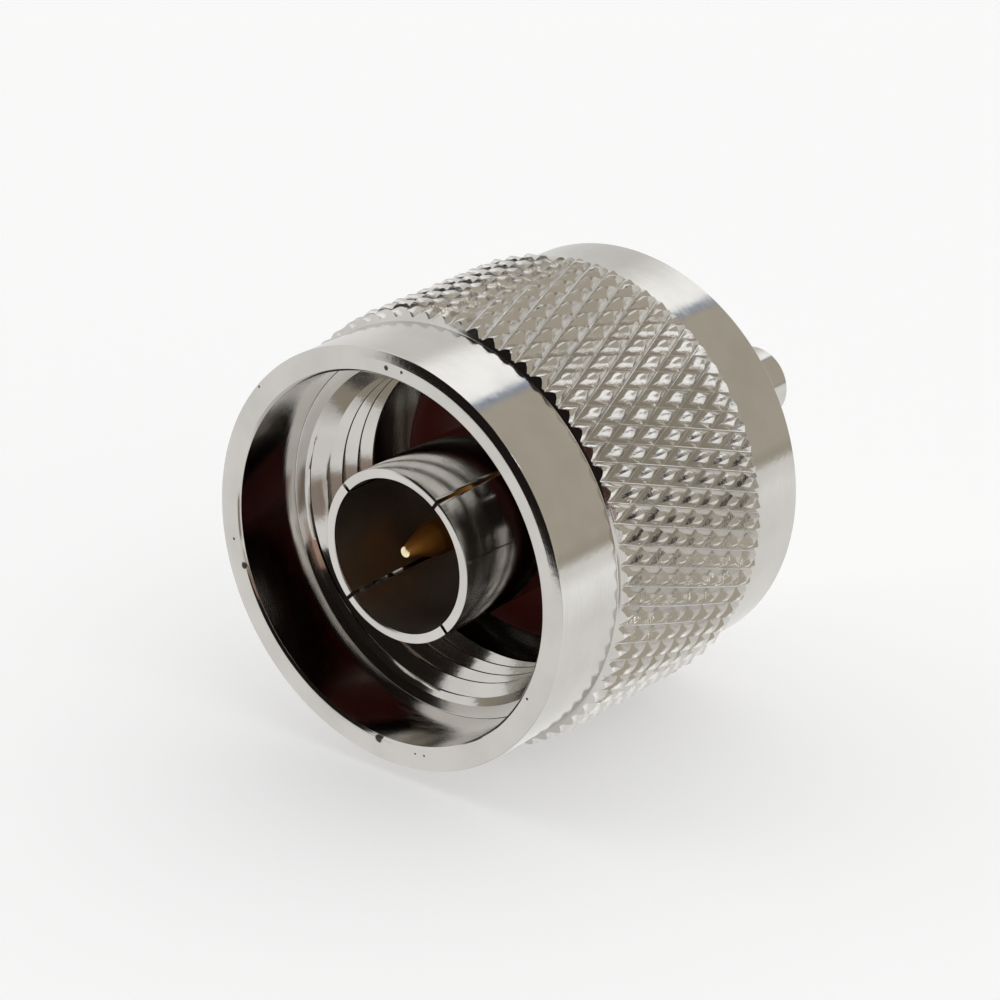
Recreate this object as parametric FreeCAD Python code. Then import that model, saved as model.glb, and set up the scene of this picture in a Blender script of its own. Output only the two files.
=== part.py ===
import FreeCAD, Part
import math
import os

# Coaxial adapter: a screw-coupled plug with a knurled nut at the front, and a small push-on jack
# behind. Sizes are in millimetres and angles in degrees.
# The connector's axis is Y. The open end faces -Y, the jack points to +Y, and Z is up. The origin
# is the centre of the outer contact's tip, from which both halves of the coupling are measured.

# Outer contact: a slotted tube that enters the mating jack
CONTACT_R = 4.05
CONTACT_BORE_R = 3.605
GASKET_FACE_Y = 9.04
CONTACT_ROOT_R = 4.25
CONTACT_FLANGE_R = 5.0
CONTACT_FLANGE_LENGTH = 0.8
CONTACT_TAIL_R = 4.4
CONTACT_TAIL_LENGTH = 2.2
SLOT_WIDTH = 0.18
SLOT_LENGTH = 6.0
SLOT_ANGLES = (53.5, 138.5, 224.5, 315.0)

# Gasket: a flat silicone ring on the body's front face, smaller than the body by a step all round
GASKET_STEP = 0.1
GASKET_THICKNESS = 1.5
GASKET_CLEARANCE = 0.05

# Coupling nut. Its own lengths are measured back from its rim, and its radii build up from the
# crests of the internal thread. The outer part of the rim's face is a bevel, wide but shallow.
RIM_LEAD = 0.71
NUT_LENGTH = 17.2
NUT_WALL = 1.16
RIM_BEVEL_WIDTH = 0.44
RIM_BEVEL_DEPTH = 0.08
RIM_INNER_CHAMFER = 0.12
NUT_REAR_CHAMFER = 0.08
COUNTERBORE_STEP = 0.57
COUNTERBORE_DEPTH = 3.76
LEAD_IN = 0.735
THREAD_CREST_R = 7.365
THREAD_END = 7.85
RELIEF_STEP = 0.685
HUB_START = 11.9
HUB_CLEARANCE = 0.06

# Knurl: diamonds where two sets of V grooves cross, one right-hand and one left-hand. The grooves
# stay a step above the plain bands of the nut, and the turn is the angle of the first peak.
KNURL_START = 3.9
KNURL_END = 14.1
KNURL_STEP = 0.13
KNURL_DEPTH = 0.46
KNURL_PITCH = 0.99
KNURL_HELIX = 21.2
KNURL_TURN = -1.5

# Snap ring, which holds the nut on the body. Its inner edge bites that deep below the body's surface.
RING_FRONT_Y = 12.6
RING_THICKNESS = 1.0
RING_BITE = 0.65
RING_WIDTH = 1.45
RING_GAP_ANGLE = 26.0
RING_GAP_CENTRE = 270.0
RING_SIDE_CLEARANCE = 0.04
RING_EDGE_CLEARANCE = 0.1
NUT_PLAY = 0.2

# Adapter body
BODY_R = 7.1
BODY_EDGE = 0.25
BARREL_END_Y = 16.95
HUB_R = 5.0
HUB_END_Y = 19.95
HUB_EDGE = 0.4
BODY_BORE_R = 3.3
JACK_SEAT_R = 2.6
JACK_SEAT_DEPTH = 2.4

# Pin: the plug's centre contact
PIN_TIP_Y = 0.6
PIN_TIP_R = 0.25
PIN_R = 0.8
PIN_CONE_LENGTH = 1.8
PIN_LENGTH = 4.7
PIN_SHAFT_R = 1.52
PIN_COLLAR_R = 2.0
PIN_COLLAR_LENGTH = 0.8
PIN_TAIL_R = 1.2
PIN_TAIL_LENGTH = 1.4
PIN_SOCKET_DEPTH = 2.6

# Push-on jack
JACK_END_Y = 27.17
JACK_R = 1.8
JACK_EDGE = 0.12
JACK_BORE_R = 1.23
JACK_MOUTH_R = 1.45
SNAP_GROOVE_R = 1.38
SNAP_GROOVE_Y = 25.4
SNAP_GROOVE_WIDTH = 0.7
JACK_FLANGE_R = 3.0
JACK_FLANGE_LENGTH = 1.1

# Socket: the jack's centre contact
SOCKET_RECESS = 0.3
SOCKET_R = 0.4
SOCKET_BORE_R = 0.21
SOCKET_BORE_DEPTH = 3.0
SOCKET_SLOT_WIDTH = 0.1
SOCKET_SLOT_LENGTH = 2.2

# Insulators
FRONT_BEAD_RECESS = 0.06
REAR_BEAD_END_Y = 23.6
SEAT_CLEARANCE = 0.02

# Places that follow from the sizes above
RIM_Y = -RIM_LEAD
NUT_END_Y = RIM_Y + NUT_LENGTH
RELIEF_R = THREAD_CREST_R + RELIEF_STEP
LEAD_IN_R = THREAD_CREST_R + LEAD_IN
COUNTERBORE_R = LEAD_IN_R + COUNTERBORE_STEP
NUT_R = COUNTERBORE_R + NUT_WALL
GASKET_SEAT_Y = GASKET_FACE_Y + GASKET_THICKNESS
GASKET_R = BODY_R - GASKET_STEP
CONTACT_STEP_Y = GASKET_SEAT_Y + CONTACT_FLANGE_LENGTH
CONTACT_END_Y = CONTACT_STEP_Y + CONTACT_TAIL_LENGTH
RING_REAR_Y = RING_FRONT_Y + RING_THICKNESS
RING_INNER_R = BODY_R - RING_BITE
RING_OUTER_R = RING_INNER_R + RING_WIDTH
PIN_SHAFT_Y = PIN_TIP_Y + PIN_LENGTH
PIN_COLLAR_END_Y = CONTACT_END_Y + PIN_COLLAR_LENGTH
PIN_END_Y = PIN_COLLAR_END_Y + PIN_TAIL_LENGTH
JACK_SEAT_Y = HUB_END_Y - JACK_SEAT_DEPTH
JACK_FLANGE_END_Y = HUB_END_Y + JACK_FLANGE_LENGTH
SOCKET_END_Y = JACK_END_Y - SOCKET_RECESS
KNURL_ROOT_R = NUT_R + KNURL_STEP
KNURL_CREST_R = KNURL_ROOT_R + KNURL_DEPTH
KNURL_START_Y = RIM_Y + KNURL_START
KNURL_END_Y = RIM_Y + KNURL_END
SPIN_AXIS = FreeCAD.Vector(0, 1, 0)
CENTRE = FreeCAD.Vector(0, 0, 0)


def turned(*outline):
    """A solid turned about the connector's axis from (radius, y) points of its half section."""
    points = [FreeCAD.Vector(r, y, 0) for r, y in outline]
    face = Part.Face(Part.makePolygon(points + points[:1]))
    return face.revolve(CENTRE, SPIN_AXIS, 360)


def at(radius, angle, y):
    """A point at an angle about the axis, 0 towards +X and 90 towards +Z."""
    turn = math.radians(angle)
    return FreeCAD.Vector(radius * math.cos(turn), y, radius * math.sin(turn))


def slit(width, reach, y_from, y_to, angle):
    """A saw cut from the axis outwards, to be taken out of a tube."""
    box = Part.makeBox(reach, y_to - y_from, width, FreeCAD.Vector(0, y_from, -width / 2))
    box.rotate(CENTRE, SPIN_AXIS, -angle)
    return box


def outer_contact():
    tube = turned(
        (CONTACT_BORE_R, 0),
        (CONTACT_R, 0),
        (CONTACT_R, GASKET_FACE_Y),
        (CONTACT_ROOT_R, GASKET_FACE_Y),
        (CONTACT_ROOT_R, GASKET_SEAT_Y),
        (CONTACT_FLANGE_R, GASKET_SEAT_Y),
        (CONTACT_FLANGE_R, CONTACT_STEP_Y),
        (CONTACT_TAIL_R, CONTACT_STEP_Y),
        (CONTACT_TAIL_R, CONTACT_END_Y),
        (CONTACT_BORE_R, CONTACT_END_Y),
    )
    cuts = [slit(SLOT_WIDTH, 2 * CONTACT_R, -1, SLOT_LENGTH, angle) for angle in SLOT_ANGLES]
    return tube.cut(cuts)


def gasket():
    inner = CONTACT_ROOT_R + GASKET_CLEARANCE
    return turned(
        (inner, GASKET_FACE_Y),
        (GASKET_R, GASKET_FACE_Y),
        (GASKET_R, GASKET_SEAT_Y),
        (inner, GASKET_SEAT_Y),
    )


def adapter_body():
    groove_r = RING_INNER_R - RING_EDGE_CLEARANCE
    groove_front = RING_FRONT_Y - NUT_PLAY - SEAT_CLEARANCE
    groove_rear = RING_REAR_Y + NUT_PLAY + SEAT_CLEARANCE
    return turned(
        (CONTACT_FLANGE_R + SEAT_CLEARANCE, GASKET_SEAT_Y),
        (BODY_R, GASKET_SEAT_Y),
        (BODY_R, groove_front),
        (groove_r, groove_front),
        (groove_r, groove_rear),
        (BODY_R, groove_rear),
        (BODY_R, BARREL_END_Y - BODY_EDGE),
        (BODY_R - BODY_EDGE, BARREL_END_Y),
        (HUB_R, BARREL_END_Y),
        (HUB_R, HUB_END_Y - HUB_EDGE),
        (HUB_R - HUB_EDGE, HUB_END_Y),
        (JACK_SEAT_R, HUB_END_Y),
        (JACK_SEAT_R, JACK_SEAT_Y),
        (BODY_BORE_R, JACK_SEAT_Y),
        (BODY_BORE_R, CONTACT_END_Y),
        (CONTACT_TAIL_R + SEAT_CLEARANCE, CONTACT_END_Y),
        (CONTACT_TAIL_R + SEAT_CLEARANCE, CONTACT_STEP_Y),
        (CONTACT_FLANGE_R + SEAT_CLEARANCE, CONTACT_STEP_Y),
    )


def snap_ring():
    ring = turned(
        (RING_INNER_R, RING_FRONT_Y),
        (RING_OUTER_R, RING_FRONT_Y),
        (RING_OUTER_R, RING_REAR_Y),
        (RING_INNER_R, RING_REAR_Y),
    )
    half = RING_GAP_ANGLE / 2
    reach = 2 * RING_OUTER_R
    corners = [
        at(0, 0, RING_FRONT_Y),
        at(reach, RING_GAP_CENTRE - half, RING_FRONT_Y),
        at(reach, RING_GAP_CENTRE + half, RING_FRONT_Y),
    ]
    wedge = Part.Face(Part.makePolygon(corners + corners[:1]))
    return ring.cut(wedge.extrude(FreeCAD.Vector(0, RING_THICKNESS, 0)))


def nut_blank():
    """The nut before it is knurled, with the knurl's band as a step of its own in the outline."""
    hub_r = BODY_R + HUB_CLEARANCE
    groove_r = RING_OUTER_R + RING_EDGE_CLEARANCE
    step_y = RIM_Y + COUNTERBORE_DEPTH
    return turned(
        (COUNTERBORE_R + RIM_INNER_CHAMFER, RIM_Y),
        (NUT_R - RIM_BEVEL_WIDTH, RIM_Y),
        (NUT_R, RIM_Y + RIM_BEVEL_DEPTH),
        (NUT_R, KNURL_START_Y),
        (NUT_R, KNURL_END_Y),
        (NUT_R, NUT_END_Y - NUT_REAR_CHAMFER),
        (NUT_R - NUT_REAR_CHAMFER, NUT_END_Y),
        (hub_r, NUT_END_Y),
        (hub_r, RING_REAR_Y + RING_SIDE_CLEARANCE),
        (groove_r, RING_REAR_Y + RING_SIDE_CLEARANCE),
        (groove_r, RING_FRONT_Y - RING_SIDE_CLEARANCE),
        (hub_r, RING_FRONT_Y - RING_SIDE_CLEARANCE),
        (hub_r, RIM_Y + HUB_START),
        (RELIEF_R, RIM_Y + HUB_START),
        (RELIEF_R, RIM_Y + THREAD_END),
        (THREAD_CREST_R, RIM_Y + THREAD_END),
        (THREAD_CREST_R, step_y + LEAD_IN),
        (LEAD_IN_R, step_y),
        (COUNTERBORE_R, step_y),
        (COUNTERBORE_R, RIM_Y + RIM_INNER_CHAMFER),
    )


def knurl_facets(teeth, rows):
    """Four flat facets for each diamond. Its peak stands half a tooth from the groove crossings."""
    tooth = 360.0 / teeth
    row = (KNURL_END_Y - KNURL_START_Y) / rows
    facets = []
    for level in range(rows + 1):
        y = KNURL_START_Y + level * row
        for index in range(teeth):
            middle = KNURL_TURN + (index + level / 2) * tooth
            peak = at(KNURL_CREST_R, middle, y)
            sides = [at(KNURL_ROOT_R, middle + turn * tooth / 2, y) for turn in (-1, 1)]
            ends = []
            if level > 0:
                ends.append(at(KNURL_ROOT_R, middle, y - row))
            if level < rows:
                ends.append(at(KNURL_ROOT_R, middle, y + row))
            for end in ends:
                for side in sides:
                    facets.append(Part.Face(Part.makePolygon([peak, side, end, peak])))
    return facets


def knurl_end(teeth, level, y, bore_edge):
    """The flat saw-toothed face at one end of the knurl, round the plain part of the nut."""
    tooth = 360.0 / teeth
    first = KNURL_TURN + level / 2 * tooth
    points = []
    for index in range(teeth):
        points.append(at(KNURL_CREST_R, first + index * tooth, y))
        points.append(at(KNURL_ROOT_R, first + (index + 0.5) * tooth, y))
    outline = Part.makePolygon(points + points[:1])
    return Part.makeFace([outline, Part.Wire([bore_edge])], "Part::FaceMakerBullseye")


def ring_edge(faces, y):
    """The circle of the nut's outer radius that lies at y."""
    for face in faces:
        for edge in face.Edges:
            box = edge.BoundBox
            if box.YLength < 1e-6 and abs(box.YMin - y) < 1e-6 and abs(box.XMax - NUT_R) < 1e-6:
                return edge
    raise ValueError("the nut has no edge where its knurl ends")


def coupling_nut():
    teeth = round(2 * math.pi * KNURL_CREST_R / KNURL_PITCH)
    row_length = KNURL_PITCH / 2 / math.tan(math.radians(KNURL_HELIX))
    rows = max(2, round((KNURL_END_Y - KNURL_START_Y) / row_length))
    middle = (KNURL_START_Y + KNURL_END_Y) / 2
    kept = []
    for face in nut_blank().Faces:
        box = face.BoundBox
        spans_knurl = box.YMin < middle < box.YMax
        if not (spans_knurl and abs(box.XMax - NUT_R) < 1e-6):
            kept.append(face)
    ends = [
        knurl_end(teeth, 0, KNURL_START_Y, ring_edge(kept, KNURL_START_Y)),
        knurl_end(teeth, rows, KNURL_END_Y, ring_edge(kept, KNURL_END_Y)),
    ]
    shell = Part.makeShell(kept + ends + knurl_facets(teeth, rows))
    shell.sewShape()
    nut = Part.makeSolid(shell)
    if nut.Volume < 0:
        nut.reverse()
    return nut


def centre_pin():
    pin = turned(
        (0, PIN_TIP_Y),
        (PIN_TIP_R, PIN_TIP_Y),
        (PIN_R, PIN_TIP_Y + PIN_CONE_LENGTH),
        (PIN_R, PIN_SHAFT_Y),
        (PIN_SHAFT_R, PIN_SHAFT_Y),
        (PIN_SHAFT_R, CONTACT_END_Y),
        (PIN_COLLAR_R, CONTACT_END_Y),
        (PIN_COLLAR_R, PIN_COLLAR_END_Y),
        (PIN_TAIL_R, PIN_COLLAR_END_Y),
        (PIN_TAIL_R, PIN_END_Y),
        (SOCKET_R + SEAT_CLEARANCE, PIN_END_Y),
        (SOCKET_R + SEAT_CLEARANCE, PIN_END_Y - PIN_SOCKET_DEPTH),
        (0, PIN_END_Y - PIN_SOCKET_DEPTH),
    )
    return pin


def front_insulator():
    return turned(
        (PIN_SHAFT_R + SEAT_CLEARANCE, GASKET_FACE_Y + FRONT_BEAD_RECESS),
        (CONTACT_BORE_R - SEAT_CLEARANCE, GASKET_FACE_Y + FRONT_BEAD_RECESS),
        (CONTACT_BORE_R - SEAT_CLEARANCE, CONTACT_END_Y),
        (PIN_SHAFT_R + SEAT_CLEARANCE, CONTACT_END_Y),
    )


def rear_insulator():
    return turned(
        (PIN_TAIL_R + SEAT_CLEARANCE, PIN_COLLAR_END_Y),
        (BODY_BORE_R - SEAT_CLEARANCE, PIN_COLLAR_END_Y),
        (BODY_BORE_R - SEAT_CLEARANCE, JACK_SEAT_Y),
        (JACK_BORE_R - SEAT_CLEARANCE, JACK_SEAT_Y),
        (JACK_BORE_R - SEAT_CLEARANCE, REAR_BEAD_END_Y),
        (SOCKET_R + SEAT_CLEARANCE, REAR_BEAD_END_Y),
        (SOCKET_R + SEAT_CLEARANCE, PIN_END_Y),
        (PIN_TAIL_R + SEAT_CLEARANCE, PIN_END_Y),
    )


def jack_shell():
    groove_end = SNAP_GROOVE_Y + SNAP_GROOVE_WIDTH
    mouth = JACK_MOUTH_R - JACK_BORE_R
    return turned(
        (JACK_BORE_R, JACK_SEAT_Y),
        (JACK_SEAT_R - SEAT_CLEARANCE, JACK_SEAT_Y),
        (JACK_SEAT_R - SEAT_CLEARANCE, HUB_END_Y),
        (JACK_FLANGE_R, HUB_END_Y),
        (JACK_FLANGE_R, JACK_FLANGE_END_Y),
        (JACK_R, JACK_FLANGE_END_Y),
        (JACK_R, JACK_END_Y - JACK_EDGE),
        (JACK_R - JACK_EDGE, JACK_END_Y),
        (JACK_MOUTH_R, JACK_END_Y),
        (JACK_BORE_R, JACK_END_Y - mouth),
        (JACK_BORE_R, groove_end),
        (SNAP_GROOVE_R, groove_end),
        (SNAP_GROOVE_R, SNAP_GROOVE_Y),
        (JACK_BORE_R, SNAP_GROOVE_Y),
    )


def rear_socket():
    socket = turned(
        (0, PIN_END_Y - PIN_SOCKET_DEPTH),
        (SOCKET_R, PIN_END_Y - PIN_SOCKET_DEPTH),
        (SOCKET_R, SOCKET_END_Y),
        (SOCKET_BORE_R, SOCKET_END_Y),
        (SOCKET_BORE_R, SOCKET_END_Y - SOCKET_BORE_DEPTH),
        (0, SOCKET_END_Y - SOCKET_BORE_DEPTH),
    )
    start = SOCKET_END_Y - SOCKET_SLOT_LENGTH
    cuts = [slit(SOCKET_SLOT_WIDTH, 2 * SOCKET_R, start, JACK_END_Y, angle) for angle in (0, 180)]
    return socket.cut(cuts)


def main():
    makers = (
        coupling_nut,
        snap_ring,
        adapter_body,
        outer_contact,
        gasket,
        front_insulator,
        centre_pin,
        rear_insulator,
        rear_socket,
        jack_shell,
    )
    os.makedirs("parts", exist_ok=True)
    for make in makers:
        shape = make()
        shape.exportStep("parts/" + make.__name__ + ".step")
        faces, valid = len(shape.Faces), shape.isValid()
        print(make.__name__, round(shape.Volume, 3), "mm3", faces, "faces", "valid", valid)


main()
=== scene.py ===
import math
import random

import bmesh
import bpy
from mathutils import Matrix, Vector, noise


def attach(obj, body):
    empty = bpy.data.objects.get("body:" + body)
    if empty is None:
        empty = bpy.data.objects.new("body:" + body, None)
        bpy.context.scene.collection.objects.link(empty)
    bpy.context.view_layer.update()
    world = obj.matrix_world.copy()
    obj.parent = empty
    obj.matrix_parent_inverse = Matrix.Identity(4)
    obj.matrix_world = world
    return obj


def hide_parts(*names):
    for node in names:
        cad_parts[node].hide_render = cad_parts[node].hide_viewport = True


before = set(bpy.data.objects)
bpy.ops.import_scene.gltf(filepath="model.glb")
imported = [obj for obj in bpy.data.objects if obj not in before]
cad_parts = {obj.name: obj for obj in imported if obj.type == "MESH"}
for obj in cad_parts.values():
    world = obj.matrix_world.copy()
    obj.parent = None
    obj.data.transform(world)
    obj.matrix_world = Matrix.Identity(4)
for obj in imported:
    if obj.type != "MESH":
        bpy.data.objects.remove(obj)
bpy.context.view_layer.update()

# A coaxial adapter that lies on its knurled nut on a white table. Its axis is Y, the open end faces
# -Y and Z is up. Sizes below are in millimetres and angles in degrees. An angle about the axis is 0
# towards +X and 90 towards +Z.
MM = 0.001

# Meshes: columns of vertices round a piece, steps on a rounded edge, and the longest share of a
# side that a rounding takes. A point on the axis stands a hair off it, and points nearer to each
# other than SAME_POINT become one.
COLUMNS = 264
JACK_COLUMNS = 128
PIN_COLUMNS = 96
ARC_STEPS = 3
ARC_SHARE = 0.45
AXIS_R = 1e-4
SAME_POINT = 1e-5
SMOOTH_ANGLE = 35
EDGE = 0.04
FINE_EDGE = 0.02

# Camera, as it stood for the photograph
CAMERA_PLACE = (99.72, -115.09, 68.05)
CAMERA_LOOK = (-0.5807, 0.7122, -0.3945)
CAMERA_LENS = 136.95
SENSOR_WIDTH = 36.0
CLIP_NEAR = 5
CLIP_FAR = 20000

# Coupling nut, lengths measured back from its rim
RIM_Y = -0.71
NUT_LENGTH = 17.2
NUT_R = 9.83
RIM_BEVEL_WIDTH = 0.44
RIM_BEVEL_DEPTH = 0.08
RIM_INNER_CHAMFER = 0.12
NUT_REAR_CHAMFER = 0.08
COUNTERBORE_R = 8.67
COUNTERBORE_DEPTH = 3.76
LEAD_IN_R = 8.1
THREAD_END = 7.85
RELIEF_R = 8.05
HUB_START = 11.9
HUB_BORE_R = 7.16

# Thread. From a crest, the wall starts outwards at one share of half a pitch and meets the root at
# another. The marks are where a turn has its points, as shares of the pitch.
THREAD_CREST_R = 7.365
THREAD_ROOT_R = 7.94
THREAD_PITCH = 1.0583
THREAD_START_TURN = 110.0
THREAD_CREST = 0.1
THREAD_ROOT = 0.95
THREAD_TURNS = range(6, -2, -1)
THREAD_MARKS = (0, 0.025, 0.11, 0.2, 0.29, 0.37, 0.45, 0.5, 0.55, 0.63, 0.71, 0.8, 0.89, 0.975)

# Snap ring's groove in the nut
RING_GROOVE = (12.56, 13.64)
RING_GROOVE_R = 8.0

# Knurl. The outline of a diamond is in half teeth and rows from its middle, and each of its rings
# has a scale of that outline and a share of the knurl's depth. The diamonds are a little lumpy and
# worn, and their peaks lean. They stand on a core that lies a gap below their grooves. At both
# ends the knurl fades and is chamfered.
TEETH = 66
KNURL_ROWS = 8
KNURL_START = 3.9
KNURL_END = 14.1
KNURL_CREST_R = 10.42
KNURL_ROOT_R = 9.96
KNURL_TURN = -1.5
KNURL_SHIFT = 0.3
TOOTH = 360.0 / TEETH
ROW = (KNURL_END - KNURL_START) / KNURL_ROWS
DIAMOND = ((-1, 0), (-0.5, -0.5), (0, -1), (0.5, -0.5), (1, 0), (0.5, 0.5), (0, 1), (-0.5, 0.5))
KNURL_RINGS = (
    (1.0, 0.0),
    (0.95, 0.02),
    (0.9, 0.09),
    (0.55, 0.6),
    (0.46, 0.7),
    (0.15, 0.94),
    (0.0, 1.0),
)
KNURL_CHAMFER_RISE = 1.7
KNURL_FADE = 1.0
KNURL_FADE_DEPTH = 0.5
KNURL_LUMPS = 0.022
KNURL_LUMP_SIZE = 0.45
KNURL_WEAR = 0.05
KNURL_LEAN = 0.05
KNURL_SEED = 11
KNURL_CORE_GAP = 0.06
KNURL_LAP = 0.01
KNURL_SMOOTH_ANGLE = 31

# Outer contact
CONTACT_R = 4.05
CONTACT_BORE_R = 3.605
CONTACT_ROOT_R = 4.25
CONTACT_FLANGE_R = 5.0
CONTACT_TAIL_R = 4.4
GASKET_FACE_Y = 9.04
GASKET_SEAT_Y = 10.54
CONTACT_STEP_Y = 11.34
CONTACT_END_Y = 13.54
SLOT_WIDTH = 0.18
SLOT_LENGTH = 6.0
SLOT_ANGLES = (53.5, 138.5, 224.5, 315.0)
FINGER_COLUMNS = 56
TIP_EDGE = 0.03

# Gasket
GASKET_R = 7.0
GASKET_CLEARANCE = 0.05
GASKET_EDGE = 0.12

# Adapter body
SEAT_CLEARANCE = 0.02
BODY_R = 7.1
BODY_FRONT_EDGE = 0.1
BODY_REAR_EDGE = 0.25
BODY_GROOVE = (12.38, 13.82)
BODY_GROOVE_R = 6.35
BARREL_END_Y = 16.95
HUB_R = 5.0
HUB_END_Y = 19.95
HUB_EDGE = 0.4
BODY_BORE_R = 3.3
JACK_SEAT_R = 2.6
JACK_SEAT_Y = 17.55

# Push-on jack
JACK_R = 1.8
JACK_END_Y = 27.17
JACK_EDGE = 0.12
JACK_BORE_R = 1.23
JACK_MOUTH_R = 1.45
JACK_FLANGE_R = 3.0
JACK_FLANGE_END_Y = 21.05
JACK_FLANGE_EDGE = 0.08
SNAP_GROOVE = (25.4, 26.1)
SNAP_GROOVE_R = 1.38

# Pin
PIN_TIP_Y = 0.6
PIN_TIP_R = 0.25
PIN_TIP_EDGE = 0.05
PIN_R = 0.8
PIN_CONE_END_Y = 2.4
PIN_CONE_EDGE = 0.3
PIN_SHAFT_Y = 5.3
PIN_SHAFT_R = 1.52
PIN_COLLAR_R = 2.0
PIN_COLLAR_END_Y = 14.34
PIN_TAIL_R = 1.2
PIN_END_Y = 15.74
PIN_SOCKET_R = 0.42
PIN_SOCKET_END_Y = 13.14

# Colours
NICKEL = (0.66, 0.645, 0.62)
CONTACT_NICKEL = (0.68, 0.665, 0.64)
# The bore's nickel is painted darker than the rest of the plating: painted shade.
BORE_NICKEL_PAINTED_SHADE = (0.46, 0.42, 0.38)
GOLD = (0.78, 0.38, 0.09)
# A paler, brighter gold painted on the pin's flat tip: a painted highlight.
GOLD_PAINTED_HIGHLIGHT = (1.0, 0.88, 0.56)
BRONZE = (0.62, 0.43, 0.28)
SILICONE = (0.17, 0.022, 0.014)
PTFE = (0.86, 0.86, 0.84)

# Finishes. The lathe's rings lie a pitch apart and change on their way round. Haze makes plating a
# little duller and rougher in places, and a soft piece has a darker and a lighter shade.
PLATING_RELIEF = 0.1
SKIN_RELIEF = 0.02
LATHE_PITCH = 0.045
LATHE_WANDER = 1.2
HAZE_SCALE = 420.0
HAZE_DULLS = 0.93
HAZE_ROUGHENS = (0.8, 1.3)
SOFT_SHADES = (0.88, 1.08)

# Small dark nicks on the rim: angle, radius and size. Their edge lies between two times the size.
NICK_COLOUR = (0.1, 0.08, 0.07)
NICK_ROUGHNESS = 0.45
NICK_EDGE = (1.3, 1.6)
NICKS = (
    (83.5, 9.19, 0.07),
    (88.9, 9.13, 0.1),
    (138.9, 9.72, 0.08),
    (188.9, 9.17, 0.06),
    (197.0, 8.85, 0.16),
    (266.6, 8.75, 0.2),
    (280.2, 9.03, 0.05),
    (283.5, 9.07, 0.05),
    (332.2, 8.99, 0.06),
)

# The studio that the metal mirrors: a pale room, then patches over it, later ones on top. Each has
# its azimuth (0 towards +Y, 90 towards +X) and half width, its lowest and highest elevation, how
# soft its edges are sideways and upwards, and its colour.
ROOM = (0.88, 0.87, 0.85)
PATCHES = (
    (0, 190, -95, -62, 1, 8, (0.62, 0.61, 0.59)),
    (56, 16, -56, -13, 3, 3, (1.15, 1.15, 1.14)),
    (62, 62, -6, 62, 0.6, 2, (0.50, 0.46, 0.385)),
    (62, 62, -6, -2, 0.6, 2, (0.42, 0.385, 0.32)),
    (14, 16, -12, 12, 5, 4, (0.72, 0.70, 0.66)),
    (64, 10, -26, -7, 3, 3, (1.35, 1.35, 1.33)),
    (-29, 31, 36, 62, 0.6, 2.5, (1.3, 1.3, 1.3)),
    (2.7, 2.3, 38, 62, 0.5, 1.5, (0.24, 0.30, 0.42)),
    (-37.5, 7.5, -15, 35, 3, 3, (0.75, 0.74, 0.72)),
    (51.5, 6, 48, 56, 2, 2, (0.75, 0.74, 0.70)),
    (2, 9, 11, 19, 2, 2, (0.12, 0.09, 0.06)),
    (0, 190, 62, 95, 1, 2, (0.03, 0.028, 0.03)),
    (173.5, 43.5, 0, 75, 1.5, 1.5, (0.014, 0.011, 0.010)),
    (178, 48, 46, 75, 1.5, 1.5, (0.014, 0.011, 0.010)),
    (192.5, 24.5, -19, 2, 1.5, 1.5, (0.014, 0.011, 0.010)),
    (164, 6, -9, 2, 1.5, 1.5, (0.014, 0.011, 0.010)),
    (161.5, 3, -9, 2, 1, 1.5, (0.24, 0.12, 0.09)),
    (141, 9, -30, -12, 1.5, 2, (0.3, 0.24, 0.2)),
    (170, 3, 9, 13, 1, 1, (0.16, 0.08, 0.06)),
    (268.5, 3.5, 5, 15, 1, 1, (0.02, 0.02, 0.02)),
    (136.5, 2.5, -8, 14, 1, 1, (0.45, 0.29, 0.22)),
    (88, 4, 45, 53, 1, 1, (7.0, 7.0, 6.8)),
)
SOFT_LIGHT = (1.2, 1.2, 1.2)
CAMERA_SIDE = (176, 46, -18, 75, 3, 3)
CAMERA_SIDE_LIGHT = (0.12, 0.12, 0.12)

# The table. The camera sees a darker paint with a glow of its own, so that shadows stay pale.
TABLE_REACH = 3000
TABLE_PAINT = 0.95
TABLE_PAINT_SEEN = 0.6
TABLE_GLOW = 0.4


def at(radius, angle, y):
    """A point in metres from a radius, an angle and a place along the axis in millimetres."""
    turn = math.radians(angle)
    return Vector((radius * math.cos(turn), y, radius * math.sin(turn))) * MM


def rounded(corners):
    """Points of an outline of (radius, y, rounding) corners, with a short arc at each corner."""
    points = []
    for index, (r, y, rounding) in enumerate(corners):
        here = Vector((r, y))
        back = Vector(corners[index - 1][:2]) - here
        onward = Vector(corners[(index + 1) % len(corners)][:2]) - here
        if rounding == 0:
            points.append(here)
            continue
        half = back.angle(onward) / 2
        longest = ARC_SHARE * min(back.length, onward.length)
        reach = min(rounding / math.tan(half), longest)
        middle = (back.normalized() + onward.normalized()).normalized()
        centre = here + middle * (reach / math.cos(half))
        first = here + back.normalized() * reach - centre
        last = here + onward.normalized() * reach - centre
        for step in range(ARC_STEPS + 1):
            points.append(centre + first.slerp(last, step / ARC_STEPS) * first.length)
    return points


def finished(bm, name, smooth_angle=SMOOTH_ANGLE):
    """Makes an object of a bmesh, shaded smooth except at edges sharper than the angle."""
    bmesh.ops.remove_doubles(bm, verts=bm.verts, dist=SAME_POINT * MM)
    bmesh.ops.recalc_face_normals(bm, faces=bm.faces)
    mesh = bpy.data.meshes.new(name)
    bm.to_mesh(mesh)
    bm.free()
    mesh.shade_smooth()
    mesh.set_sharp_from_angle(angle=math.radians(smooth_angle))
    piece = bpy.data.objects.new(name, mesh)
    bpy.context.scene.collection.objects.link(piece)
    weighted = piece.modifiers.new("weighted_normals", "WEIGHTED_NORMAL")
    weighted.keep_sharp = True
    return piece


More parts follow.
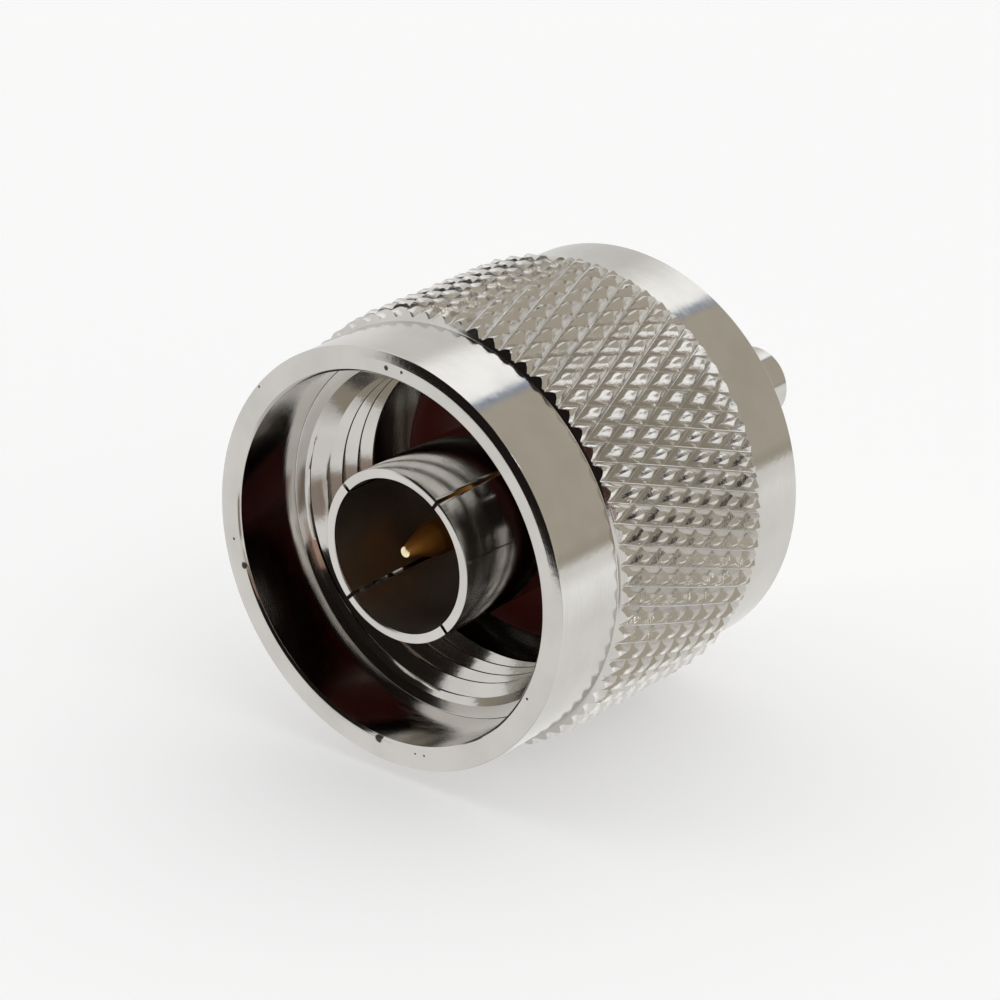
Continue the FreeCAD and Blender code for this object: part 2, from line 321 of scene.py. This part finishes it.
def add_grid(bm, columns):
    """Faces between neighbouring columns of vertices, all round the axis and round each column."""
    rows = len(columns[0])
    for index, column in enumerate(columns):
        onward = columns[(index + 1) % len(columns)]
        for row in range(rows):
            following = (row + 1) % rows
            bm.faces.new([column[row], onward[row], onward[following], column[following]])


def turned(name, corners, columns=COLUMNS):
    """A piece turned about the axis from an outline of (radius, y, rounding) corners."""
    bm = bmesh.new()
    outline = rounded(corners)
    grid = []
    for index in range(columns):
        angle = index * 360.0 / columns
        grid.append([bm.verts.new(at(max(r, AXIS_R), angle, y)) for r, y in outline])
    add_grid(bm, grid)
    return finished(bm, name)


def thread_depth(phase):
    """How far the bore's wall lies outside the crest, from 0 to 1, for a phase from 0 to 1."""
    from_crest = abs(phase - 0.5) * 2
    return min(max((from_crest - THREAD_CREST) / (THREAD_ROOT - THREAD_CREST), 0.0), 1.0)


def thread_column(angle):
    """Points (radius, y) along the threaded bore at one angle, from its end to the lead-in."""
    step_y = RIM_Y + COUNTERBORE_DEPTH
    end_y = RIM_Y + THREAD_END
    points = []
    advance = (angle - THREAD_START_TURN) / 360.0
    for turn in THREAD_TURNS:
        for mark in reversed(THREAD_MARKS):
            y = step_y + (turn + mark + advance) * THREAD_PITCH
            y = min(max(y, step_y), end_y)
            phase = ((y - step_y) / THREAD_PITCH - advance) % 1.0
            depth = thread_depth(phase) * (THREAD_ROOT_R - THREAD_CREST_R)
            lead_in = LEAD_IN_R - (y - step_y)
            points.append((max(THREAD_CREST_R + depth, lead_in), y))
    return points


def nut_outline():
    """The nut's outline in two stretches: knurl to thread round the back, and thread to knurl."""
    end_y = RIM_Y + NUT_LENGTH
    core_r = KNURL_ROOT_R - KNURL_CORE_GAP
    rise = KNURL_ROOT_R + KNURL_LAP - NUT_R
    reach = rise / KNURL_CHAMFER_RISE
    rear = rounded(
        [
            (core_r, RIM_Y + KNURL_END - 2 * reach, 0),
            (NUT_R + rise, RIM_Y + KNURL_END - reach, 0),
            (NUT_R, RIM_Y + KNURL_END, FINE_EDGE),
            (NUT_R, end_y - NUT_REAR_CHAMFER, EDGE),
            (NUT_R - NUT_REAR_CHAMFER, end_y, EDGE),
            (HUB_BORE_R, end_y, EDGE),
            (HUB_BORE_R, RING_GROOVE[1], 0),
            (RING_GROOVE_R, RING_GROOVE[1], 0),
            (RING_GROOVE_R, RING_GROOVE[0], 0),
            (HUB_BORE_R, RING_GROOVE[0], 0),
            (HUB_BORE_R, RIM_Y + HUB_START, EDGE),
            (RELIEF_R, RIM_Y + HUB_START, EDGE),
            (RELIEF_R, RIM_Y + THREAD_END, 0),
        ]
    )
    step_y = RIM_Y + COUNTERBORE_DEPTH
    front = rounded(
        [
            (LEAD_IN_R, step_y, 0),
            (COUNTERBORE_R, step_y, EDGE),
            (COUNTERBORE_R, RIM_Y + RIM_INNER_CHAMFER, FINE_EDGE),
            (COUNTERBORE_R + RIM_INNER_CHAMFER, RIM_Y, FINE_EDGE),
            (NUT_R - RIM_BEVEL_WIDTH, RIM_Y, FINE_EDGE),
            (NUT_R, RIM_Y + RIM_BEVEL_DEPTH, EDGE),
            (NUT_R, RIM_Y + KNURL_START, EDGE),
            (NUT_R + rise, RIM_Y + KNURL_START + reach, 0),
            (core_r, RIM_Y + KNURL_START + 2 * reach, 0),
        ]
    )
    return rear, front


def lumpy(radius, angle, y):
    """A point pushed in or out a little, by the same amount wherever two faces share it."""
    place = at(radius, angle, y)
    swell = noise.noise(place / (KNURL_LUMP_SIZE * MM)) * KNURL_LUMPS
    return at(radius + swell, angle, y)


def knurl_depth(y):
    """How deep the knurl is pressed in at y: less near its two ends."""
    inside = min(y - RIM_Y - KNURL_START, RIM_Y + KNURL_END - y)
    share = min(1.0, max(0.0, inside / KNURL_FADE))
    full = KNURL_CREST_R - KNURL_ROOT_R
    return full * (KNURL_FADE_DEPTH + (1 - KNURL_FADE_DEPTH) * share)


def add_diamond(bm, middle, y, chance):
    """One diamond of the knurl: its walls are steep at the grooves and round over at the peak."""
    worn = 1 - KNURL_WEAR * chance.random()
    lean_across = chance.uniform(-KNURL_LEAN, KNURL_LEAN)
    lean_along = chance.uniform(-KNURL_LEAN, KNURL_LEAN)
    rings = []
    for scale, height in KNURL_RINGS:
        outline = DIAMOND if scale > 0 else DIAMOND[:1]
        shift = (1 - scale) ** 2
        ring = []
        for across, along in outline:
            turn = middle + (across * scale + lean_across * shift) * TOOTH / 2
            place = y + (along * scale + lean_along * shift) * ROW
            radius = KNURL_ROOT_R + knurl_depth(place) * height * worn
            ring.append(bm.verts.new(lumpy(radius, turn, place)))
        rings.append(ring)
    faces = []
    for outer, inner in zip(rings, rings[1:]):
        for side in range(len(DIAMOND)):
            after = (side + 1) % len(DIAMOND)
            corners = [outer[side], outer[after], inner[0]]
            if len(inner) > 1:
                corners = [outer[side], outer[after], inner[after], inner[side]]
            faces.append(bm.faces.new(corners))
    for face in faces:
        face.material_index = 1
    return faces


def cut_diamond(bm, faces, middle, end_y, side):
    """Cuts a diamond along the chamfer at one end of the knurl, and closes the cut."""
    radial = at(1, middle, 0).normalized()
    geometry = dict.fromkeys(faces)
    for face in faces:
        geometry.update(dict.fromkeys(face.edges))
        geometry.update(dict.fromkeys(face.verts))
    cut = bmesh.ops.bisect_plane(
        bm,
        geom=list(geometry),
        dist=SAME_POINT * MM / 10,
        plane_co=at(NUT_R, middle, end_y),
        plane_no=radial + Vector((0, side * KNURL_CHAMFER_RISE, 0)),
        clear_outer=True,
    )
    across = radial.cross(Vector((0, 1, 0)))
    corners = [item for item in cut["geom_cut"] if isinstance(item, bmesh.types.BMVert)]
    if len(corners) > 2:
        corners.sort(key=lambda corner: corner.co.dot(across))
        bm.faces.new(corners)


def add_knurl(bm):
    """Rows of diamonds where right-hand and left-hand grooves cross, chamfered at both ends."""
    chance = random.Random(KNURL_SEED)
    start_y = RIM_Y + KNURL_START
    end_y = RIM_Y + KNURL_END
    cut_at_start = (-1, 0)
    cut_at_end = (KNURL_ROWS - 1, KNURL_ROWS)
    for level in (*cut_at_start, *cut_at_end, *range(1, KNURL_ROWS - 1)):
        for index in range(TEETH):
            middle = KNURL_TURN + (index + level / 2) * TOOTH
            faces = add_diamond(bm, middle, start_y + KNURL_SHIFT + level * ROW, chance)
            if level in cut_at_start:
                cut_diamond(bm, faces, middle, start_y, -1)
            elif level in cut_at_end:
                cut_diamond(bm, faces, middle, end_y, 1)


def make_nut():
    """The nut. Its knurl is a shell round its core, and its rim's face has a finish of its own."""
    bm = bmesh.new()
    add_knurl(bm)
    rear, front = nut_outline()
    grid = []
    for index in range(COLUMNS):
        angle = index * 360.0 / COLUMNS
        points = rear + thread_column(angle) + front
        grid.append([bm.verts.new(at(r, angle, y)) for r, y in points])
    add_grid(bm, grid)
    piece = finished(bm, "knurled_nut", KNURL_SMOOTH_ANGLE)
    for face in piece.data.polygons:
        if face.center.y < (RIM_Y + RIM_BEVEL_DEPTH) * MM:
            face.material_index = 2
    return piece


def contact_angle(column, r):
    """The angle of one column of the outer contact, whose saw slots have parallel walls."""
    finger, step = divmod(column, FINGER_COLUMNS)
    here = SLOT_ANGLES[finger]
    onward = SLOT_ANGLES[(finger + 1) % len(SLOT_ANGLES)]
    if onward < here:
        onward += 360
    half = math.degrees(math.asin(SLOT_WIDTH / 2 / r))
    first = here + half
    last = onward - half
    return first + (last - first) * step / (FINGER_COLUMNS - 1)


def contact_outline():
    """The outer contact's section, from its tip along the outside and back along the bore."""
    return rounded(
        [
            (CONTACT_R, 0, TIP_EDGE),
            (CONTACT_R, SLOT_LENGTH, 0),
            (CONTACT_R, GASKET_FACE_Y, 0),
            (CONTACT_ROOT_R, GASKET_FACE_Y, 0),
            (CONTACT_ROOT_R, GASKET_SEAT_Y, 0),
            (CONTACT_FLANGE_R, GASKET_SEAT_Y, 0),
            (CONTACT_FLANGE_R, CONTACT_STEP_Y, 0),
            (CONTACT_TAIL_R, CONTACT_STEP_Y, 0),
            (CONTACT_TAIL_R, CONTACT_END_Y, 0),
            (CONTACT_BORE_R, CONTACT_END_Y, 0),
            (CONTACT_BORE_R, SLOT_LENGTH, 0),
            (CONTACT_BORE_R, 0, TIP_EDGE),
        ]
    )


def add_slot(bm, near, far, rows):
    """The two walls of a saw slot and its end, from the rows of vertices round its section."""
    for side in (near, far):
        bm.faces.new([side[row] for row in rows])
    bm.faces.new([near[rows[0]], far[rows[0]], far[rows[-1]], near[rows[-1]]])


def make_outer_contact():
    """The outer contact: four fingers with a saw slot after each, and a darker nickel painted on the
    bore as painted shade.
    """
    outline = contact_outline()
    rows = len(outline)
    cut = [row for row, (r, y) in enumerate(outline) if y <= SLOT_LENGTH + SAME_POINT]
    cut.sort(key=lambda row: (row + rows // 2) % rows)
    bm = bmesh.new()
    total = FINGER_COLUMNS * len(SLOT_ANGLES)
    grid = []
    for column in range(total):
        grid.append([bm.verts.new(at(r, contact_angle(column, r), y)) for r, y in outline])
    for column in range(total):
        near = grid[column]
        far = grid[(column + 1) % total]
        in_slot = column % FINGER_COLUMNS == FINGER_COLUMNS - 1
        for row in range(rows):
            following = (row + 1) % rows
            if in_slot and row in cut and following in cut:
                continue
            face = bm.faces.new([near[row], far[row], far[following], near[following]])
            if max(outline[row][0], outline[following][0]) < CONTACT_BORE_R + AXIS_R:
                face.material_index = 1
        if in_slot:
            add_slot(bm, near, far, cut)
    return finished(bm, "slotted_contact")


def make_gasket():
    inner = CONTACT_ROOT_R + GASKET_CLEARANCE
    return turned(
        "silicone_gasket",
        [
            (inner, GASKET_FACE_Y, GASKET_EDGE),
            (GASKET_R, GASKET_FACE_Y, GASKET_EDGE),
            (GASKET_R, GASKET_SEAT_Y, GASKET_EDGE),
            (inner, GASKET_SEAT_Y, GASKET_EDGE),
        ],
    )


def make_body():
    seat_r = CONTACT_FLANGE_R + SEAT_CLEARANCE
    tail_r = CONTACT_TAIL_R + SEAT_CLEARANCE
    return turned(
        "turned_body",
        [
            (seat_r, GASKET_SEAT_Y, EDGE),
            (BODY_R, GASKET_SEAT_Y, BODY_FRONT_EDGE),
            (BODY_R, BODY_GROOVE[0], EDGE),
            (BODY_GROOVE_R, BODY_GROOVE[0], EDGE),
            (BODY_GROOVE_R, BODY_GROOVE[1], EDGE),
            (BODY_R, BODY_GROOVE[1], EDGE),
            (BODY_R, BARREL_END_Y - BODY_REAR_EDGE, EDGE),
            (BODY_R - BODY_REAR_EDGE, BARREL_END_Y, EDGE),
            (HUB_R, BARREL_END_Y, EDGE),
            (HUB_R, HUB_END_Y - HUB_EDGE, EDGE),
            (HUB_R - HUB_EDGE, HUB_END_Y, EDGE),
            (JACK_SEAT_R, HUB_END_Y, EDGE),
            (JACK_SEAT_R, JACK_SEAT_Y, EDGE),
            (BODY_BORE_R, JACK_SEAT_Y, EDGE),
            (BODY_BORE_R, CONTACT_END_Y, EDGE),
            (tail_r, CONTACT_END_Y, EDGE),
            (tail_r, CONTACT_STEP_Y, EDGE),
            (seat_r, CONTACT_STEP_Y, EDGE),
        ],
    )


def make_jack():
    mouth = JACK_MOUTH_R - JACK_BORE_R
    return turned(
        "jack_tube",
        [
            (JACK_BORE_R, JACK_SEAT_Y, 0),
            (JACK_SEAT_R - SEAT_CLEARANCE, JACK_SEAT_Y, 0),
            (JACK_SEAT_R - SEAT_CLEARANCE, HUB_END_Y, 0),
            (JACK_FLANGE_R, HUB_END_Y, EDGE),
            (JACK_FLANGE_R, JACK_FLANGE_END_Y, JACK_FLANGE_EDGE),
            (JACK_R, JACK_FLANGE_END_Y, EDGE),
            (JACK_R, JACK_END_Y - JACK_EDGE, EDGE),
            (JACK_R - JACK_EDGE, JACK_END_Y, EDGE),
            (JACK_MOUTH_R, JACK_END_Y, FINE_EDGE),
            (JACK_BORE_R, JACK_END_Y - mouth, FINE_EDGE),
            (JACK_BORE_R, SNAP_GROOVE[1], FINE_EDGE),
            (SNAP_GROOVE_R, SNAP_GROOVE[1], FINE_EDGE),
            (SNAP_GROOVE_R, SNAP_GROOVE[0], FINE_EDGE),
            (JACK_BORE_R, SNAP_GROOVE[0], FINE_EDGE),
        ],
        JACK_COLUMNS,
    )


def make_pin():
    """The centre contact, whose small flat tip is painted a paler, brighter gold as a painted
    highlight.
    """
    piece = turned(
        "plug_pin",
        [
            (0, PIN_TIP_Y, 0),
            (PIN_TIP_R, PIN_TIP_Y, PIN_TIP_EDGE),
            (PIN_R, PIN_CONE_END_Y, PIN_CONE_EDGE),
            (PIN_R, PIN_SHAFT_Y, FINE_EDGE),
            (PIN_SHAFT_R, PIN_SHAFT_Y, EDGE),
            (PIN_SHAFT_R, CONTACT_END_Y, 0),
            (PIN_COLLAR_R, CONTACT_END_Y, FINE_EDGE),
            (PIN_COLLAR_R, PIN_COLLAR_END_Y, FINE_EDGE),
            (PIN_TAIL_R, PIN_COLLAR_END_Y, FINE_EDGE),
            (PIN_TAIL_R, PIN_END_Y, FINE_EDGE),
            (PIN_SOCKET_R, PIN_END_Y, FINE_EDGE),
            (PIN_SOCKET_R, PIN_SOCKET_END_Y, 0),
            (0, PIN_SOCKET_END_Y, 0),
        ],
        PIN_COLUMNS,
    )
    # The flat tip takes the second material, a painted highlight.
    for face in piece.data.polygons:
        if face.center.y < (PIN_TIP_Y + FINE_EDGE) * MM:
            face.material_index = 1
    return piece


class Nodes:
    """Adds shader nodes to a tree with short calls."""

    def __init__(self, tree):
        self.tree = tree

    def add(self, kind, inputs=None, **settings):
        node = self.tree.nodes.new(kind)
        for key, value in settings.items():
            setattr(node, key, value)
        for key, value in (inputs or {}).items():
            if isinstance(value, bpy.types.NodeSocket):
                self.tree.links.new(value, node.inputs[key])
            else:
                node.inputs[key].default_value = value
        return node

    def math(self, operation, *values):
        inputs = dict(enumerate(values))
        return self.add("ShaderNodeMath", inputs, operation=operation).outputs[0]

    def smooth(self, value, low, high):
        """0 below low and 1 above high, with a soft step between."""
        inputs = {0: value, 1: low, 2: high}
        node = self.add("ShaderNodeMapRange", inputs, interpolation_type="SMOOTHSTEP")
        return node.outputs[0]

    def noise(self, place, scale, detail):
        inputs = {"Vector": place, "Scale": scale, "Detail": detail}
        return self.add("ShaderNodeTexNoise", inputs).outputs[0]

    def remap(self, value, low, high, first, last):
        """From first at low to last at high, and no further."""
        inputs = {0: value, 1: low, 2: high, 3: first, 4: last}
        return self.add("ShaderNodeMapRange", inputs).outputs[0]

    def mix(self, factor, first, second):
        inputs = {0: factor, 6: first, 7: second}
        return self.add("ShaderNodeMix", inputs, data_type="RGBA").outputs[2]


def new_material(name):
    """A material with a plain shader, and what adds nodes to it."""
    material = bpy.data.materials.new(name)
    material.use_nodes = True
    tree = material.node_tree
    return material, Nodes(tree), tree.nodes["Principled BSDF"]


def lathe_marks(nodes, pitch, wander):
    """A texture vector that runs fine rings round the axis on any turned face."""
    place = nodes.add("ShaderNodeTexCoord").outputs["Object"]
    x, y, z = nodes.add("ShaderNodeSeparateXYZ", {0: place}).outputs
    flat = nodes.add("ShaderNodeCombineXYZ", {0: x, 2: z}).outputs[0]
    radius = nodes.add("ShaderNodeVectorMath", {0: flat}, operation="LENGTH").outputs["Value"]
    along = nodes.math("DIVIDE", nodes.math("ADD", y, radius), pitch * MM)
    around_x = nodes.math("MULTIPLY", nodes.math("DIVIDE", x, radius), wander)
    around_z = nodes.math("MULTIPLY", nodes.math("DIVIDE", z, radius), wander)
    return nodes.add("ShaderNodeCombineXYZ", {0: around_x, 1: along, 2: around_z}).outputs[0]


def nick_mask(nodes, place, ragged):
    """1 in the small nicks of the rim, with ragged edges."""
    mask = 0.0
    for angle, radius, size in NICKS:
        inputs = {0: place, 1: at(radius, angle, RIM_Y)}
        away = nodes.add("ShaderNodeVectorMath", inputs, operation="DISTANCE").outputs["Value"]
        away = nodes.math("ADD", away, nodes.math("MULTIPLY", ragged, size * MM))
        inner, outer = [edge * size * MM for edge in NICK_EDGE]
        mask = nodes.math("MAXIMUM", mask, nodes.smooth(away, outer, inner))
    return mask


def plated(name, colour, roughness, marks, grain, grain_size, nicked=False):
    """Bright plating over turned metal: lathe rings under it, small unevenness and a little haze."""
    material, nodes, shader = new_material(name)
    place = nodes.add("ShaderNodeTexCoord").outputs["Object"]
    rings = nodes.noise(lathe_marks(nodes, LATHE_PITCH, LATHE_WANDER), 1.0, 2.0)
    skin = nodes.noise(place, 1 / (grain_size * MM), 3.0)
    haze = nodes.noise(place, HAZE_SCALE, 3.0)
    dulled = [part * HAZE_DULLS for part in colour]
    tint = nodes.mix(nodes.smooth(haze, 0.35, 0.7), (*colour, 1), (*dulled, 1))
    least, most = [roughness * share for share in HAZE_ROUGHENS]
    rough = nodes.remap(haze, 0.3, 0.7, least, most)
    marked = nodes.math("MULTIPLY", rings, marks)
    height = nodes.math("ADD", marked, nodes.math("MULTIPLY", skin, grain))
    if nicked:
        nicks = nick_mask(nodes, place, skin)
        tint = nodes.mix(nicks, tint, (*NICK_COLOUR, 1))
        rough = nodes.math("MAXIMUM", rough, nodes.math("MULTIPLY", nicks, NICK_ROUGHNESS))
        height = nodes.math("SUBTRACT", height, nicks)
    relief = {"Height": height, "Strength": 1.0, "Distance": PLATING_RELIEF * MM}
    bump = nodes.add("ShaderNodeBump", relief)
    nodes.tree.links.new(tint, shader.inputs["Base Color"])
    nodes.tree.links.new(rough, shader.inputs["Roughness"])
    nodes.tree.links.new(bump.outputs[0], shader.inputs["Normal"])
    shader.inputs["Metallic"].default_value = 1.0
    return material


def soft_solid(name, colour, roughness, grain_size, grain):
    """A plain moulded or turned plastic or rubber with a fine skin."""
    material, nodes, shader = new_material(name)
    place = nodes.add("ShaderNodeTexCoord").outputs["Object"]
    skin = nodes.noise(place, 1 / (grain_size * MM), 3.0)
    darker = [part * SOFT_SHADES[0] for part in colour]
    lighter = [part * SOFT_SHADES[1] for part in colour]
    shade = nodes.mix(skin, (*darker, 1), (*lighter, 1))
    relief = {"Height": skin, "Strength": grain, "Distance": SKIN_RELIEF * MM}
    bump = nodes.add("ShaderNodeBump", relief)
    nodes.tree.links.new(shade, shader.inputs["Base Color"])
    nodes.tree.links.new(bump.outputs[0], shader.inputs["Normal"])
    shader.inputs["Roughness"].default_value = roughness
    return material


def sky_patch(nodes, azimuth, elevation, shape):
    """1 within a patch of the sky and 0 outside it."""
    middle, half_width, low, high, soft_aside, soft_rise = [math.radians(size) for size in shape]
    above = nodes.smooth(elevation, low - soft_rise, low + soft_rise)
    below = nodes.smooth(elevation, high + soft_rise, high - soft_rise)
    patch = nodes.math("MULTIPLY", above, below)
    if half_width > math.pi:
        return patch
    off = nodes.math("WRAP", nodes.math("SUBTRACT", azimuth, middle), math.pi, -math.pi)
    aside = nodes.math("ABSOLUTE", off)
    across = nodes.smooth(aside, half_width + soft_aside, half_width - soft_aside)
    return nodes.math("MULTIPLY", across, patch)


def make_world():
    """A white studio, in which the metal mirrors the patches and soft things are lit evenly."""
    world = bpy.data.worlds.new("studio")
    bpy.context.scene.world = world
    world.use_nodes = True
    tree = world.node_tree
    nodes = Nodes(tree)
    direction = nodes.add("ShaderNodeTexCoord").outputs["Generated"]
    x, y, z = nodes.add("ShaderNodeSeparateXYZ", {0: direction}).outputs
    azimuth = nodes.math("ARCTAN2", x, y)
    elevation = nodes.math("ARCSINE", z)
    mirrored = (*ROOM, 1)
    for *shape, colour in PATCHES:
        mirrored = nodes.mix(sky_patch(nodes, azimuth, elevation, shape), mirrored, (*colour, 1))
    dark_side = sky_patch(nodes, azimuth, elevation, CAMERA_SIDE)
    soft = nodes.mix(dark_side, (*SOFT_LIGHT, 1), (*CAMERA_SIDE_LIGHT, 1))
    skies = []
    for colour in (mirrored, soft, (1, 1, 1, 1)):
        skies.append(nodes.add("ShaderNodeBackground", {"Color": colour}).outputs[0])
    path = nodes.add("ShaderNodeLightPath").outputs
    lit = nodes.add("ShaderNodeMixShader", {0: path["Is Diffuse Ray"], 1: skies[0], 2: skies[1]})
    seen = nodes.add("ShaderNodeMixShader", {0: path["Is Camera Ray"], 1: lit.outputs[0], 2: skies[2]})
    tree.links.new(seen.outputs[0], tree.nodes["World Output"].inputs["Surface"])


def make_floor():
    """The white table. It keeps the adapter's shadow, and the metal mirrors the studio instead."""
    mesh = bpy.data.meshes.new("table")
    reach = TABLE_REACH * MM
    z = -KNURL_CREST_R * MM
    corners = [(-reach, -reach, z), (reach, -reach, z), (reach, reach, z), (-reach, reach, z)]
    mesh.from_pydata(corners, [], [(0, 1, 2, 3)])
    floor = bpy.data.objects.new("table", mesh)
    bpy.context.scene.collection.objects.link(floor)
    floor.visible_glossy = False
    material, nodes, shader = new_material("white_table")
    from_camera = nodes.add("ShaderNodeLightPath").outputs["Is Camera Ray"]
    paints = [(shade, shade, shade, 1) for shade in (TABLE_PAINT, TABLE_PAINT_SEEN)]
    paint = nodes.mix(from_camera, *paints)
    glow = nodes.math("MULTIPLY", from_camera, TABLE_GLOW)
    nodes.tree.links.new(paint, shader.inputs["Base Color"])
    nodes.tree.links.new(glow, shader.inputs["Emission Strength"])
    shader.inputs["Emission Color"].default_value = (1, 1, 1, 1)
    shader.inputs["Roughness"].default_value = 1.0
    shader.inputs["Specular IOR Level"].default_value = 0.0
    mesh.materials.append(material)


def make_camera():
    data = bpy.data.cameras.new("camera")
    data.lens = CAMERA_LENS
    data.sensor_width = SENSOR_WIDTH
    data.clip_start = CLIP_NEAR * MM
    data.clip_end = CLIP_FAR * MM
    camera = bpy.data.objects.new("camera", data)
    bpy.context.scene.collection.objects.link(camera)
    camera.location = Vector(CAMERA_PLACE) * MM
    camera.rotation_mode = "QUATERNION"
    camera.rotation_quaternion = Vector(CAMERA_LOOK).to_track_quat("-Z", "Y")
    bpy.context.scene.camera = camera


def dress(piece, materials, body, slot, *nodes):
    """Gives a new piece its finish and the body it moves with, and hides the solids it stands for."""
    for material in materials:
        piece.data.materials.append(material)
    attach(piece, body)
    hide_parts(*nodes)


def main():
    nickel = plated("nickel_turned", NICKEL, 0.1, marks=0.028, grain=0.03, grain_size=0.4)
    rim = plated("nicked_rim", NICKEL, 0.1, marks=0.028, grain=0.03, grain_size=0.4, nicked=True)
    knurled = plated("nickel_knurled", NICKEL, 0.15, marks=0.06, grain=0.1, grain_size=0.13)
    contact = plated("nickel_contact", CONTACT_NICKEL, 0.08, marks=0.01, grain=0.01, grain_size=0.4)
    # Painted shade: the bore gets a darker nickel than the contact, though both are the same plating.
    bore = plated("bore_painted_shade", BORE_NICKEL_PAINTED_SHADE, 0.4, marks=0.03, grain=0.02, grain_size=0.2)
    gold = plated("gold_plated", GOLD, 0.34, marks=0.03, grain=0.03, grain_size=0.4)
    # Painted highlight: the pin's flat tip gets a paler, brighter gold than the rest of the pin.
    tip = plated("tip_painted_highlight", GOLD_PAINTED_HIGHLIGHT, 0.2, marks=0.03, grain=0.03, grain_size=0.4)
    bronze = plated("spring_bronze", BRONZE, 0.25, marks=0.1, grain=0.2, grain_size=0.4)
    silicone = soft_solid("red_silicone", SILICONE, 0.38, grain=0.3, grain_size=0.15)
    ptfe = soft_solid("turned_ptfe", PTFE, 0.45, grain=0.2, grain_size=0.1)

    dress(make_nut(), [nickel, knurled, rim], "nut", "nickel_plate", "coupling_nut")
    dress(make_outer_contact(), [contact, bore], "body", "contact_plate", "outer_contact")
    dress(make_gasket(), [silicone], "body", "red_silicone", "gasket")
    dress(make_body(), [nickel], "body", "nickel_plate", "adapter_body")
    dress(make_jack(), [nickel], "body", "nickel_plate", "jack_shell")
    dress(make_pin(), [gold, tip], "body", "gold_plate", "centre_pin")
    kept = {
        "snap_ring": bronze,
        "front_insulator": ptfe,
        "rear_insulator": ptfe,
        "rear_socket": gold,
    }
    for name, material in kept.items():
        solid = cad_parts[name]
        solid.data.materials.clear()
        solid.data.materials.append(material)
    make_world()
    make_floor()
    make_camera()
    bpy.context.scene.view_settings.view_transform = "Standard"


main()
